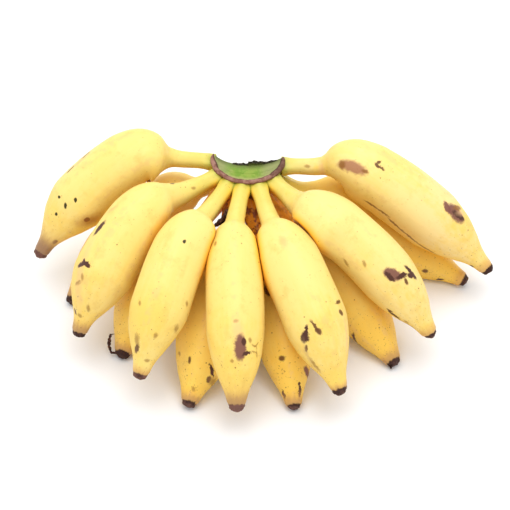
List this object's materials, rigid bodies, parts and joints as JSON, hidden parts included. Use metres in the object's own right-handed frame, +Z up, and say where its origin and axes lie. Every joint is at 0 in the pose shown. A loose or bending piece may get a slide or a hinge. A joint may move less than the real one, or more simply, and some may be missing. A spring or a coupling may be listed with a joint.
{
  "type": "hand of bananas",
  "caption": "Whole hand of short, plump yellow bananas in an upper and a lower row, grown together at a green cut crown, lying on the bellies of its lower row.",
  "frame": {"origin": "on the surface the hand lies on, under the middle of its box", "axes": "+Z up, +X to the right of the pictured side, along the hand's width, -Y from the crown towards the banana tips"},
  "size_m": [0.2903, 0.176, 0.0952],
  "materials": {
    "crown": "green, slightly waxy skin with a pinkish-brown scar ridge round the rim and a dry brown cut behind",
    "upper_peel": "ripe pale-yellow peel, satin, with a few brown bruises, black specks and a dry dark brown tip",
    "lower_peel": "ripe deeper-yellow peel, satin, freckled, with a dry dark brown tip"
  },
  "bodies": {
    "root": {"crown": "crown", "finger_1": "upper_peel", "finger_2": "upper_peel", "finger_3": "upper_peel", "finger_4": "upper_peel", "finger_5": "upper_peel", "finger_6": "upper_peel", "finger_7": "upper_peel", "finger_a": "lower_peel", "finger_b": "lower_peel", "finger_c": "lower_peel", "finger_d": "lower_peel", "finger_e": "lower_peel", "finger_f": "lower_peel"}
  },
  "joints": []
}
